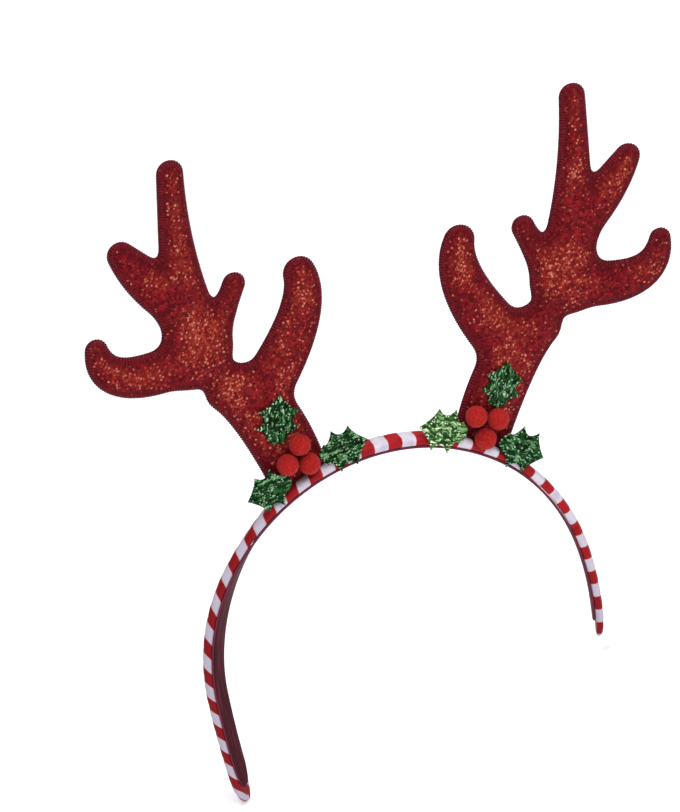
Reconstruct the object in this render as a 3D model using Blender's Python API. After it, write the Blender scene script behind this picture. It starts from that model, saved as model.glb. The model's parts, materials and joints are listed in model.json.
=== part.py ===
"""Reindeer antler headband: a wound curved band, two flat padded antlers and two bunches of holly.

Metres, +Z up, +X to the wearer's left as seen from the front, and -Y towards the viewer. The origin is
where the band's lining sits on the crown of the head. The antlers and the holly are set out in a frame
of their own, the pair's frame, whose origin is the centre of the band's crown arc.
"""

import math
from typing import NamedTuple

import bmesh
import bpy
import numpy as np
from mathutils import Vector
from mathutils.geometry import delaunay_2d_cdt

# Clearance between two pieces that touch on the real headband
SEAT_GAP = 0.0003

# Band
HEAD_RADIUS = 0.0713  # inner face of the lining over the crown
CROWN_HALF_DEG = 85.2  # the crown arc reaches this far to each side
BAND_WIDTH = 0.0095
COVER_THICKNESS = 0.0034
LINING_WIDTH = 0.0080
LINING_THICKNESS = 0.0009
LINING_INSET = 0.006  # the lining ends this far before the cover's tip
TIP_LENGTH = 0.010  # the stretch in which a tip narrows to its end
TIP_END_SHARE = 0.35  # what is left of the width at the very end
STATION_SPACING = 0.004
LEFT_LEG_LENGTH = 0.1503  # from the crown's middle to the tip on the viewer's left
RIGHT_LEG_LENGTH = 0.1452
LEFT_LEG_CURVE = 0.400  # the leg bends inwards with this radius past the crown arc
RIGHT_LEG_CURVE = 0.110
SECTION_SQUARENESS = 0.55  # 1 gives a domed cover, less gives it a flatter top and fuller sides

# Antlers
ANTLER_HALF_SPREAD = 0.1127  # from the pair's middle plane to the outermost curl
ANTLER_RISE = 0.1225  # from the level of the band's top to the main tine's tip
ANTLER_THICKNESS = 0.0054  # over the padded middle
ANTLER_EDGE_THICKNESS = 0.0018  # at the overlocked edge
PADDING_RUN = 0.0085  # the padding swells over this distance from the edge
NOTCH_BLEND = 0.005  # how softly two tines run into each other
ANTLER_LEAN_DEG = 4.7  # towards the viewer
LEAN_PIVOT = 0.068  # height of the lean's axis above the crown arc's centre
PAIR_SHIFT_DEG = 11.4  # the pair is stitched on off centre, turned along the band
OUTLINE_STEP = 0.0026
RING_DEPTHS = (0.0012, 0.0034)
FILL_STEP = 0.0060
GRID_STEP = 0.001

# Holly
LEAF_LENGTH = 0.0188
LEAF_WIDTH = 0.0170
LEAF_THICKNESS = 0.0011
LEAF_FOLD = 0.0007  # the leaf's sides stand this far forward of its midrib
BERRY_DIAMETER = 0.0079

COVER_INNER_RADIUS = HEAD_RADIUS + LINING_THICKNESS + SEAT_GAP
COVER_OUTER_RADIUS = COVER_INNER_RADIUS + COVER_THICKNESS


class Leg(NamedTuple):
    """One half of the band, from the crown's middle to a tip along the cover's inner face.

    Past the crown arc it curves inwards with its own radius. It twists between two places that are
    shares of its length. Where it has twisted, its cover is thicker by the swell.
    """

    side: int
    length: float
    curve_radius: float
    twist_deg: float
    twist_start: float
    twist_end: float
    swell: float


LEGS = (
    Leg(-1, LEFT_LEG_LENGTH, LEFT_LEG_CURVE, twist_deg=50.0, twist_start=0.0, twist_end=0.62, swell=1.13),
    Leg(1, RIGHT_LEG_LENGTH, RIGHT_LEG_CURVE, twist_deg=15.0, twist_start=0.42, twist_end=0.85, swell=1.0),
)


class BandSection(NamedTuple):
    """One section of the band: its place along the half, and its width and thickness as shares."""

    along: float
    width: float
    thickness: float


BAND_SECTIONS = (
    BandSection(along=0.00, width=1.00, thickness=1.00),
    BandSection(along=0.45, width=1.00, thickness=1.00),
    BandSection(along=0.75, width=0.97, thickness=0.92),
    BandSection(along=1.00, width=0.88, thickness=0.78),
)


class Tine(NamedTuple):
    """One arm of the antler, through three points from its root to its tip.

    The places across are shares of the half spread, those up are shares of the rise above the band's
    top, and the half widths are shares of the half spread.
    """

    name: str
    root_across: float
    root_up: float
    bend_across: float
    bend_up: float
    tip_across: float
    tip_up: float
    root_half: float
    bend_half: float
    tip_half: float


TINES = (
    Tine("stem", 0.286, -0.130, 0.400, 0.130, 0.524, 0.262, 0.090, 0.101, 0.080),
    Tine("main", 0.626, 0.384, 0.666, 0.668, 0.677, 0.959, 0.111, 0.062, 0.041),
    Tine("outer_small", 0.692, 0.563, 0.781, 0.649, 0.856, 0.738, 0.071, 0.064, 0.041),
    Tine("outer_curl", 0.675, 0.367, 0.878, 0.361, 0.957, 0.459, 0.075, 0.062, 0.034),
    Tine("inner_small", 0.586, 0.400, 0.532, 0.498, 0.490, 0.582, 0.062, 0.041, 0.035),
    Tine("inner_big", 0.408, 0.237, 0.284, 0.433, 0.271, 0.578, 0.089, 0.071, 0.050),
)


class LeafPlace(NamedTuple):
    """Where a holly leaf lies, as lengths in the pair's frame, and which way its tip points."""

    side: int
    name: str
    across: float
    up: float
    tip_deg: float
    size: float
    on_antler: bool


# tip_deg is measured from straight up, towards the outside of the pair
LEAVES = (
    LeafPlace(-1, "left_antler", 0.0430, 0.0934, -8.0, 1.0, True),
    LeafPlace(-1, "left_inner", 0.0192, 0.0775, -80.0, 1.0, False),
    LeafPlace(-1, "left_outer", 0.0487, 0.0672, 108.0, 0.94, False),
    LeafPlace(1, "right_antler", 0.0430, 0.0893, 20.0, 0.94, True),
    LeafPlace(1, "right_inner", 0.0190, 0.0765, -72.0, 1.0, False),
    LeafPlace(1, "right_outer", 0.0485, 0.0632, 122.0, 1.0, False),
)


class BerryPlace(NamedTuple):
    """Where a berry's centre lies in the pair's frame."""

    side: int
    name: str
    across: float
    up: float


BERRIES = (
    BerryPlace(-1, "left_top", 0.0366, 0.0836),
    BerryPlace(-1, "left_outer", 0.0415, 0.0768),
    BerryPlace(-1, "left_inner", 0.0333, 0.0756),
    BerryPlace(1, "right_top", 0.0312, 0.0805),
    BerryPlace(1, "right_outer", 0.0396, 0.0778),
    BerryPlace(1, "right_inner", 0.0343, 0.0712),
)


class LeafEdge(NamedTuple):
    """One spike of the leaf's edge and the hollow after it, as shares of length and half width."""

    spike_along: float
    spike_out: float
    hollow_along: float
    hollow_out: float


LEAF_EDGES = (
    LeafEdge(spike_along=0.12, spike_out=0.47, hollow_along=0.22, hollow_out=0.50),
    LeafEdge(spike_along=0.33, spike_out=0.97, hollow_along=0.50, hollow_out=0.66),
    LeafEdge(spike_along=0.68, spike_out=0.92, hollow_along=0.79, hollow_out=0.47),
)

# Colours are linear RGB
RED_GLITTER = (0.27, 0.012, 0.018)
RIBBON_RED = (0.53, 0.015, 0.02)
LINING_WINE = (0.07, 0.008, 0.015)
HOLLY_GREEN = (0.008, 0.10, 0.022)
BERRY_RED = (0.58, 0.02, 0.02)


def clear_scene() -> None:
    """Removes every object that the scene starts with."""
    for item in list(bpy.data.objects):
        bpy.data.objects.remove(item, do_unlink=True)


def material(name: str, colour: tuple, roughness: float, metallic: float = 0.0) -> bpy.types.Material:
    """Makes a plain Principled material."""
    made = bpy.data.materials.new(name)
    made.use_nodes = True
    shader = made.node_tree.nodes["Principled BSDF"]
    shader.inputs["Base Color"].default_value = (*colour, 1.0)
    shader.inputs["Roughness"].default_value = roughness
    shader.inputs["Metallic"].default_value = metallic
    return made


def add_object(name: str, mesh: bpy.types.Mesh, finish: bpy.types.Material) -> bpy.types.Object:
    """Links a mesh into the scene as an object with its material and smooth shading."""
    mesh.materials.append(finish)
    mesh.shade_smooth()
    mesh.set_sharp_from_angle(angle=math.radians(40))
    item = bpy.data.objects.new(name, mesh)
    bpy.context.scene.collection.objects.link(item)
    return item


def add_empty(name: str, parent: bpy.types.Object | None = None) -> bpy.types.Object:
    """Adds an empty that pieces can be parented to."""
    item = bpy.data.objects.new(name, None)
    item.parent = parent
    bpy.context.scene.collection.objects.link(item)
    return item


def smoothstep(low: float, high: float, value: float) -> float:
    """Rises softly from 0 at low to 1 at high."""
    share = min(max((value - low) / (high - low), 0.0), 1.0)
    return share * share * (3.0 - 2.0 * share)


def leg_at(along: float) -> Leg:
    """The leg that a distance along the band lies in, negative on the viewer's left."""
    return LEGS[0] if along < 0 else LEGS[1]


def band_frame(along: float) -> tuple[Vector, Vector, Vector]:
    """The band's path along the cover's inner face.

    Returns the point, the direction out of the arch and the direction across the band, after the
    leg's twist, for a distance along the band that is negative on the viewer's left.
    """
    leg = leg_at(along)
    side, distance = leg.side, abs(along)
    crown_half = math.radians(CROWN_HALF_DEG)
    crown_length = COVER_INNER_RADIUS * crown_half
    if distance <= crown_length:
        angle = distance / COVER_INNER_RADIUS
        across, up = COVER_INNER_RADIUS * math.sin(angle), COVER_INNER_RADIUS * math.cos(angle)
    else:
        angle = crown_half + (distance - crown_length) / leg.curve_radius
        centre = COVER_INNER_RADIUS - leg.curve_radius
        across = centre * math.sin(crown_half) + leg.curve_radius * math.sin(angle)
        up = centre * math.cos(crown_half) + leg.curve_radius * math.cos(angle)
    point = Vector((side * across, 0.0, up - HEAD_RADIUS))
    outward = Vector((side * math.sin(angle), 0.0, math.cos(angle)))
    depth = Vector((0.0, 1.0, 0.0))
    turn = smoothstep(leg.twist_start, leg.twist_end, distance / leg.length)
    twist = -side * math.radians(leg.twist_deg) * turn
    turned_out = outward * math.cos(twist) + depth * math.sin(twist)
    turned_depth = depth * math.cos(twist) - outward * math.sin(twist)
    # The strip twists about its own middle, not about its inner face
    middle = COVER_THICKNESS / 2
    return point + (outward - turned_out) * middle, turned_out, turned_depth


def band_size(along: float) -> tuple[float, float]:
    """The cover's width and thickness as shares of their named sizes, from the table."""
    share = abs(along) / leg_at(along).length
    places = [row.along for row in BAND_SECTIONS]
    width = float(np.interp(share, places, [row.width for row in BAND_SECTIONS]))
    thickness = float(np.interp(share, places, [row.thickness for row in BAND_SECTIONS]))
    swell = 1.0 + (leg_at(along).swell - 1.0) * smoothstep(0.25, 0.6, share)
    return width, thickness * swell


def tip_share(along: float, inset: float) -> float:
    """How far a strip that ends this far before the band's tip has narrowed towards its round end."""
    before_end = leg_at(along).length - inset - abs(along)
    into = max(0.0, TIP_LENGTH - before_end) / TIP_LENGTH
    return max(TIP_END_SHARE, math.sqrt(max(0.0, 1.0 - into * into)))


def stations(inset: float) -> list[float]:
    """The distances along the band at which a strip has a section, closer together at its ends."""
    ends = [leg.side * (leg.length - inset) for leg in LEGS]
    inner = [leg.side * (leg.length - inset - TIP_LENGTH) for leg in LEGS]
    count = round((inner[1] - inner[0]) / STATION_SPACING)
    tips = (0.35, 0.6, 0.8, 0.93, 1.0)
    left = [inner[0] + (ends[0] - inner[0]) * share for share in reversed(tips)]
    middle = [inner[0] + (inner[1] - inner[0]) * i / count for i in range(count + 1)]
    right = [inner[1] + (ends[1] - inner[1]) * share for share in tips]
    return left + middle + right


def cover_section() -> list[tuple[float, float]]:
    """The wound cover's section, flat inside and bulging outside, for a width and thickness of 1."""
    flat_corner = 0.10
    points = [(-0.5 + flat_corner, 0.0), (0.5 - flat_corner, 0.0), (0.5 - flat_corner / 4, 0.12)]
    steps = 10
    for i in range(steps + 1):
        angle = math.pi * i / steps
        across = math.copysign(abs(math.cos(angle)) ** SECTION_SQUARENESS, math.cos(angle))
        points.append((0.5 * across, 0.36 + 0.64 * max(0.0, math.sin(angle)) ** SECTION_SQUARENESS))
    points.append((-0.5 + flat_corner / 4, 0.12))
    return points


def lining_section() -> list[tuple[float, float]]:
    """The lining's section: a thin flat strip with softened inner edges."""
    return [(-0.5, 1.0), (-0.5, 0.3), (-0.46, 0.0), (0.46, 0.0), (0.5, 0.3), (0.5, 1.0)]


def sweep_band(name: str, section: list, width: float, thickness: float, base: float, inset: float):
    """Sweeps a section along the band from tip to tip.

    Args:
        name: The mesh's name.
        section: Points as shares of the width and the thickness.
        width: The strip's full width.
        thickness: The strip's full thickness.
        base: Height of the section's foot above the cover's inner face.
        inset: How far the strip's ends lie before the band's tips.

    Returns:
        The mesh.
    """
    shape = bmesh.new()
    rings = []
    for along in stations(inset):
        point, outward, depth = band_frame(along)
        width_share, thickness_share = band_size(along)
        narrowing = tip_share(along, inset)
        across = width * width_share * narrowing
        if base < 0:
            tall = thickness
        else:
            tall = thickness * thickness_share * (0.5 + 0.5 * narrowing)
        ring = []
        for x, z in section:
            place = point + depth * (x * across) + outward * (base + z * tall)
            ring.append(shape.verts.new(place))
        rings.append(ring)
    for first, second in zip(rings, rings[1:]):
        for i in range(len(section)):
            j = (i + 1) % len(section)
            shape.faces.new((first[i], first[j], second[j], second[i]))
    shape.faces.new(list(reversed(rings[0])))
    shape.faces.new(rings[-1])
    bmesh.ops.recalc_face_normals(shape, faces=shape.faces)
    mesh = bpy.data.meshes.new(name)
    shape.to_mesh(mesh)
    shape.free()
    return mesh


def tine_distance(tine: Tine, x: np.ndarray, z: np.ndarray) -> np.ndarray:
    """Distance from one tine's outline in the pair's frame, negative inside it."""
    steps = 24
    t = np.linspace(0.0, 1.0, steps + 1)
    at_root, at_bend, at_tip = (2 * t - 1) * (t - 1), 4 * t * (1 - t), t * (2 * t - 1)
    across = tine.root_across * at_root + tine.bend_across * at_bend + tine.tip_across * at_tip
    up = tine.root_up * at_root + tine.bend_up * at_bend + tine.tip_up * at_tip
    half = tine.root_half * at_root + tine.bend_half * at_bend + tine.tip_half * at_tip
    across, half = across * ANTLER_HALF_SPREAD, half * ANTLER_HALF_SPREAD
    up = COVER_OUTER_RADIUS + up * ANTLER_RISE
    nearest = np.full(x.shape, 1.0)
    for i in range(steps):
        run_x, run_z = across[i + 1] - across[i], up[i + 1] - up[i]
        share = ((x - across[i]) * run_x + (z - up[i]) * run_z) / (run_x**2 + run_z**2)
        share = np.clip(share, 0.0, 1.0)
        gap = np.hypot(x - across[i] - share * run_x, z - up[i] - share * run_z)
        nearest = np.minimum(nearest, gap - half[i] - share * (half[i + 1] - half[i]))
    return nearest


def antler_distance(x: np.ndarray, z: np.ndarray) -> np.ndarray:
    """Distance from the whole antler's outline: its tines blended, and cut round by the band."""
    result = tine_distance(TINES[0], x, z)
    for tine in TINES[1:]:
        other = tine_distance(tine, x, z)
        mix = np.clip(0.5 + 0.5 * (other - result) / NOTCH_BLEND, 0.0, 1.0)
        result = other + (result - other) * mix - NOTCH_BLEND * mix * (1.0 - mix)
    seat = COVER_OUTER_RADIUS + SEAT_GAP - np.hypot(x, z)
    return np.maximum(result, seat)


def level_loop(x: np.ndarray, z: np.ndarray, field: np.ndarray, level: float) -> list[np.ndarray]:
    """Walks the closed lines on which a field on a grid has this level, by marching squares."""
    inside = field < level
    links: dict[tuple, list] = {}

    def cross(i: int, j: int, i2: int, j2: int) -> tuple:
        """Names the grid edge between two neighbouring nodes."""
        return (i, j, i2, j2)

    for i in range(len(x) - 1):
        for j in range(len(z) - 1):
            corners = ((i, j), (i + 1, j), (i + 1, j + 1), (i, j + 1))
            signs = [inside[c] for c in corners]
            if all(signs) or not any(signs):
                continue
            edges = []
            for k in range(4):
                if signs[k] != signs[(k + 1) % 4]:
                    a, b = sorted((corners[k], corners[(k + 1) % 4]))
                    edges.append(cross(*a, *b))
            if len(edges) == 4 and signs[0]:
                edges = edges[1:] + edges[:1]
            for a, b in zip(edges[::2], edges[1::2]):
                links.setdefault(a, []).append(b)
                links.setdefault(b, []).append(a)
    loops = []
    while links:
        start = min(links)
        walk, previous, here = [start], None, start
        while True:
            following = [edge for edge in links[here] if edge != previous]
            if not following or following[0] == start:
                break
            previous, here = here, following[0]
            walk.append(here)
        for edge in walk:
            links.pop(edge, None)
        points = []
        for i, j, i2, j2 in walk:
            share = (level - field[i, j]) / (field[i2, j2] - field[i, j])
            points.append((x[i] + share * (x[i2] - x[i]), z[j] + share * (z[j2] - z[j])))
        loops.append(np.array(points))
    return loops


def even_points(loop: np.ndarray, step: float) -> np.ndarray:
    """Spaces points evenly along a closed loop."""
    closed = np.vstack([loop, loop[:1]])
    lengths = np.concatenate([[0.0], np.cumsum(np.hypot(*np.diff(closed, axis=0).T))])
    count = max(6, round(lengths[-1] / step))
    places = np.arange(count) * lengths[-1] / count
    return np.stack([np.interp(places, lengths, closed[:, k]) for k in (0, 1)], axis=1)


def antler_points() -> tuple[np.ndarray, np.ndarray]:
    """The antler's outline and its inner points, in the pair's frame."""
    margin = 3 * GRID_STEP
    x = np.arange(0.0, ANTLER_HALF_SPREAD * 1.1 + margin, GRID_STEP)
    z = np.arange(COVER_OUTER_RADIUS * 0.6, COVER_OUTER_RADIUS + ANTLER_RISE * 1.1 + margin, GRID_STEP)
    field = antler_distance(*np.meshgrid(x, z, indexing="ij"))
    outline = even_points(max(level_loop(x, z, field, 0.0), key=len), OUTLINE_STEP)
    inner = []
    for depth in RING_DEPTHS:
        for loop in level_loop(x, z, field, -depth):
            if len(loop) > 8:
                inner.append(even_points(loop, OUTLINE_STEP * (1 + depth / RING_DEPTHS[-1])))
    fill_x = np.arange(x[0], x[-1], FILL_STEP)
    fill_z = np.arange(z[0], z[-1], FILL_STEP)
    grid = np.stack(np.meshgrid(fill_x, fill_z, indexing="ij"), axis=-1).reshape(-1, 2)
    deep = antler_distance(grid[:, 0], grid[:, 1]) < -(RING_DEPTHS[-1] + FILL_STEP / 3)
    inner.append(grid[deep])
    return outline, np.vstack(inner)


def padded_half(points: np.ndarray) -> np.ndarray:
    """Half the antler's thickness at these points: a thin edge that swells to the padded middle."""
    depth = -antler_distance(points[:, 0], points[:, 1])
    rise = np.clip(depth / PADDING_RUN, 0.0, 1.0)
    swell = np.sqrt(1.0 - (1.0 - rise) ** 2)
    return (ANTLER_EDGE_THICKNESS + (ANTLER_THICKNESS - ANTLER_EDGE_THICKNESS) * swell) / 2


def plate_mesh(name: str, outline: np.ndarray, inner: np.ndarray, front: np.ndarray, back: np.ndarray):
    """A closed plate over an outline in the XZ plane.

    Args:
        name: The mesh's name.
        outline: The outline's points, in order.
        inner: Points inside the outline.
        front: The front face's Y at every point, the outline's first.
        back: The back face's Y at every point.

    Returns:
        The mesh.
    """
    flat = np.vstack([outline, inner])
    count = len(outline)
    edges = [(i, (i + 1) % count) for i in range(count)]
    places, _, triangles, origins, *_ = delaunay_2d_cdt(
        [Vector(p) for p in flat], edges, [], 1, 1e-7
    )
    shape = bmesh.new()
    source = [origin[0] for origin in origins]
    faces = {}
    for key, heights in (("front", front), ("back", back)):
        faces[key] = [shape.verts.new((p.x, heights[k], p.y)) for p, k in zip(places, source)]
    for a, b, c in triangles:
        shape.faces.new((faces["front"][a], faces["front"][b], faces["front"][c]))
        shape.faces.new((faces["back"][c], faces["back"][b], faces["back"][a]))
    ring = {k: i for i, k in enumerate(source)}
    for a, b in edges:
        i, j = ring[a], ring[b]
        shape.faces.new((faces["front"][i], faces["back"][i], faces["back"][j], faces["front"][j]))
    bmesh.ops.recalc_face_normals(shape, faces=shape.faces)
    mesh = bpy.data.meshes.new(name)
    shape.to_mesh(mesh)
    shape.free()
    return mesh


def leaf_edge() -> np.ndarray:
    """One side of a holly leaf from its base to its tip, as length and half-width shares."""
    points = [(0.0, 0.16)]
    steps = 3
    for row, following in zip(LEAF_EDGES, (*LEAF_EDGES[1:], None)):
        spike = (row.spike_along, row.spike_out)
        hollow = (row.hollow_along, row.hollow_out)
        after = (1.0, 0.0) if following is None else (following.spike_along, following.spike_out)
        points.append(spike)
        # A parabola through the hollow's lowest point, from this spike to the next
        for i in range(1, steps + 1):
            t = i / (steps + 1)
            at_spike, at_hollow, at_after = (2 * t - 1) * (t - 1), 4 * t * (1 - t), t * (2 * t - 1)
            points.append(
                tuple(
                    at_spike * a + at_hollow * b + at_after * c
                    for a, b, c in zip(spike, hollow, after)
                )
            )
    return np.array(points)


def leaf_mesh(name: str, size: float) -> bpy.types.Mesh:
    """A spiky holly leaf, centred on the origin, with its tip up and its sides folded forward."""
    side = leaf_edge()
    length, half = LEAF_LENGTH * size, LEAF_WIDTH * size / 2
    right = np.stack([side[:, 1] * half, (side[:, 0] - 0.5) * length], axis=1)
    left = np.stack([-right[::-1, 0], right[::-1, 1]], axis=1)
    tip = np.array([[0.0, length / 2]])
    outline = np.vstack([right, tip, left])
    midrib = np.array([[0.0, (i / 6 - 0.5) * length] for i in range(6)])
    midrib[0, 1] += 0.02 * length
    flat = np.vstack([outline, midrib])
    back = -LEAF_FOLD * np.abs(flat[:, 0]) / half
    return plate_mesh(name, outline, midrib, back - LEAF_THICKNESS, back)


def build_band() -> None:
    """The wound cover and the lining inside it."""
    red = material("ribbon", RIBBON_RED, 0.45)
    wine = material("lining", LINING_WINE, 0.6)
    cover = sweep_band("striped_cover", cover_section(), BAND_WIDTH, COVER_THICKNESS, 0.0, 0.0)
    add_object("striped_cover", cover, red)
    lining = sweep_band(
        "band_lining",
        lining_section(),
        LINING_WIDTH,
        LINING_THICKNESS,
        -SEAT_GAP - LINING_THICKNESS,
        LINING_INSET,
    )
    add_object("band_lining", lining, wine)


def build_antlers(pair: bpy.types.Object) -> None:
    """Both antlers, the left one mirrored from the right one's points."""
    glitter = material("glitter_fabric", RED_GLITTER, 0.5)
    outline, inner = antler_points()
    half = padded_half(np.vstack([outline, inner]))
    for side, name in ((-1, "left"), (1, "right")):
        mirrored = np.array([side, 1.0])
        mesh = plate_mesh(f"antler_{name}", outline * mirrored, inner * mirrored, -half, half)
        antler = add_object(f"antler_{name}", mesh, glitter)
        lean_piece(antler, pair, 0.0, 0.0, 0.0)


def lean_piece(item: bpy.types.Object, pair: bpy.types.Object, x: float, y: float, z: float) -> None:
    """Places a piece in the antlers' own leaning plane."""
    lean = math.radians(ANTLER_LEAN_DEG)
    raised = z - LEAN_PIVOT
    item.parent = pair
    item.rotation_euler.x = lean
    item.location = (
        x,
        y * math.cos(lean) - raised * math.sin(lean),
        LEAN_PIVOT + y * math.sin(lean) + raised * math.cos(lean),
    )


def build_holly(pair: bpy.types.Object) -> None:
    """The leaves and berries at the foot of each antler."""
    green = material("holly_tinsel", HOLLY_GREEN, 0.35, 0.6)
    felt = material("berry_felt", BERRY_RED, 0.9)
    front_of_antler = -ANTLER_THICKNESS / 2 - SEAT_GAP
    front_of_band = -BAND_WIDTH / 2 - SEAT_GAP
    for row in LEAVES:
        name = f"holly_leaf_{row.name}"
        leaf = add_object(name, leaf_mesh(name, row.size), green)
        if row.on_antler:
            lean_piece(leaf, pair, row.side * row.across, front_of_antler, row.up)
        else:
            leaf.parent = pair
            leaf.location = (row.side * row.across, front_of_band, row.up)
        leaf.rotation_euler.y = row.side * math.radians(row.tip_deg)
    radius = BERRY_DIAMETER / 2
    for row in BERRIES:
        ball = bmesh.new()
        bmesh.ops.create_uvsphere(ball, u_segments=16, v_segments=10, radius=radius)
        mesh = bpy.data.meshes.new(f"berry_{row.name}")
        ball.to_mesh(mesh)
        ball.free()
        berry = add_object(f"berry_{row.name}", mesh, felt)
        lean_piece(berry, pair, row.side * row.across, front_of_antler - radius, row.up)


def main() -> None:
    """Builds the headband."""
    clear_scene()
    pair = add_empty("antler_pair")
    pair.location.z = -HEAD_RADIUS
    pair.rotation_euler.y = math.radians(PAIR_SHIFT_DEG)
    build_band()
    build_antlers(pair)
    build_holly(pair)


main()
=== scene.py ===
"""Reindeer antler headband: its wound ribbon, lining, padded antlers and holly, in metres."""

from __future__ import annotations

import json
import logging
import math
from dataclasses import dataclass
from enum import Enum
from typing import NamedTuple

import bpy
import numpy as np
from mathutils import Euler, Matrix, Vector, noise
from mathutils.geometry import delaunay_2d_cdt

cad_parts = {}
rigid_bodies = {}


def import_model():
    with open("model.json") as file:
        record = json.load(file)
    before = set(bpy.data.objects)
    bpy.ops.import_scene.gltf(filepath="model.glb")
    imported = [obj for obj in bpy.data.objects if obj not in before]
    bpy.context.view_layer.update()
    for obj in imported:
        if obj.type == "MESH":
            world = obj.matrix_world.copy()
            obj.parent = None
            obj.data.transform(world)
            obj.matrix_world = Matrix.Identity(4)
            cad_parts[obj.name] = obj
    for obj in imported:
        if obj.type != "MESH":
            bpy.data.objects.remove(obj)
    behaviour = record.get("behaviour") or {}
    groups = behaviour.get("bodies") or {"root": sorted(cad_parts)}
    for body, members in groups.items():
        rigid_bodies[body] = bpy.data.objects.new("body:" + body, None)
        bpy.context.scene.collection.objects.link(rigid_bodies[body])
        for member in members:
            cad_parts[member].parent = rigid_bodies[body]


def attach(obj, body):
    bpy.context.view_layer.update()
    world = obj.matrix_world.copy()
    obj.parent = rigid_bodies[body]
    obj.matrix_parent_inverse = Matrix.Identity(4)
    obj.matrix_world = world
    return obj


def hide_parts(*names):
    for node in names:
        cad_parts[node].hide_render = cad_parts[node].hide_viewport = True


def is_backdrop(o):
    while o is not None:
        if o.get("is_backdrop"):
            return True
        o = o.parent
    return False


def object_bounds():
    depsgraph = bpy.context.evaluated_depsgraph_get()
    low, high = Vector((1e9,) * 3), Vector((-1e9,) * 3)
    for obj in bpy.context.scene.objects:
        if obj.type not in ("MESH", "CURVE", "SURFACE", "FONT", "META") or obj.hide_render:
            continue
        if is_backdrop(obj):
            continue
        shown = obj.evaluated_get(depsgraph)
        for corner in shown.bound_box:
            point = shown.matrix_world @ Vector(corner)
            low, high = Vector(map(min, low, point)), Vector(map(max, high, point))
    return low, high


log = logging.getLogger("headband")

Array = np.ndarray
Material = bpy.types.Material
Piece = bpy.types.Object

MM = 0.001
SEAT_GAP = 0.3 * MM
HEAD_RADIUS = 71.3 * MM
BAND_WIDTH = 9.5 * MM
ANTLER_THICKNESS = 5.4 * MM
# One red and one white turn of the ribbon together
TURN_PAIR_MM = 10.5
# Steps of each arc between two spikes of a leaf
ARC_STEPS = 12
# The least length, and the least square of one, that anything is divided by
TINY = 1e-9
TINY_SQUARE = 1e-12
# Further than any piece reaches, for the start of a search for what lies nearest
FAR = 1.0


class Side(Enum):
    """The viewer's left and right halves of the headband."""

    LEFT = -1
    RIGHT = 1

    @property
    def word(self) -> str:
        """The side's name as the CAD nodes spell it."""
        return self.name.lower()


def linear(hex_colour: str) -> tuple[float, ...]:
    """Turns an sRGB hex colour into linear RGBA.

    Args:
        hex_colour: Six hex digits after a hash.

    Returns:
        The linear colour with full alpha.
    """
    parts = [int(hex_colour[i : i + 2], 16) / 255 for i in (1, 3, 5)]
    flat = [c / 12.92 if c <= 0.04045 else ((c + 0.055) / 1.055) ** 2.4 for c in parts]
    return (*flat, 1.0)


class NodeGraph:
    """A material in the making, with its node tree and its shader."""

    def __init__(self, name: str, **values: float | tuple) -> None:
        """Starts the material.

        Args:
            name: The finish's name.
            values: Constants of the shader's own sockets, with underscores for spaces.
        """
        self.material = bpy.data.materials.new(name)
        self.material.use_nodes = True
        self.tree = self.material.node_tree
        self.shader = self.tree.nodes["Principled BSDF"]
        for key, value in values.items():
            self.shader.inputs[key.replace("_", " ")].default_value = value

    def add_node(
        self, kind: str, inputs: dict | tuple = (), stops: tuple = (), **settings: str
    ) -> bpy.types.Node:
        """Adds a node with its settings, values and links.

        Args:
            kind: The node's type without its prefix.
            inputs: In order, or by name or number, a value, a socket, or a node, which
                stands for its first output.
            stops: Places and hex colours of a colour ramp.
            settings: The node's own settings.

        Returns:
            The node.
        """
        node = self.tree.nodes.new("ShaderNode" + kind)
        for key, value in settings.items():
            setattr(node, key, value)
        for key, value in inputs.items() if isinstance(inputs, dict) else enumerate(inputs):
            source = value.outputs[0] if isinstance(value, bpy.types.Node) else value
            if isinstance(source, bpy.types.NodeSocket):
                self.tree.links.new(source, node.inputs[key])
            else:
                node.inputs[key].default_value = source
        if stops:
            elements = node.color_ramp.elements
            while len(elements) < len(stops):
                elements.new(1.0)
            for element, (place, colour) in zip(elements, stops):
                element.position, element.color = place, linear(colour)
        return node

    def finish(self, colour: bpy.types.NodeSocket, bump: bpy.types.Node | None = None) -> Material:
        """Links the shader's colour and bump.

        Args:
            colour: The colour's output socket.
            bump: The bump node, if there is one.

        Returns:
            The material.
        """
        self.tree.links.new(colour, self.shader.inputs["Base Color"])
        if bump:
            self.tree.links.new(bump.outputs[0], self.shader.inputs["Normal"])
        return self.material


def smoothstep(low: Array | float, high: Array | float, value: Array | float) -> Array:
    """Rises softly from 0 at low to 1 at high."""
    share = np.clip((np.asarray(value) - low) / (high - low), 0.0, 1.0)
    return share * share * (3.0 - 2.0 * share)


def through_three(t: Array | float, first: Array, middle: Array, last: Array) -> Array:
    """The parabola through three values at 0, a half and 1."""
    return (2 * t - 1) * (t - 1) * first + 4 * t * (1 - t) * middle + t * (2 * t - 1) * last


def squared_off(values: Array, power: Array | float) -> Array:
    """Raises to a power and keeps the sign, which squares a circle's sine and cosine off."""
    return np.sign(values) * np.abs(values) ** power


def ripple(points: Array, size: float, seed: float) -> Array:
    """Smooth noise from about -1 to 1 at each point.

    Args:
        points: Points in metres.
        size: The noise's typical width in metres.
        seed: An offset that gives another pattern.

    Returns:
        One value a point.
    """
    return np.array([noise.noise(Vector(p) / size + Vector((seed, 0.0, 0.0))) for p in points])


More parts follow.
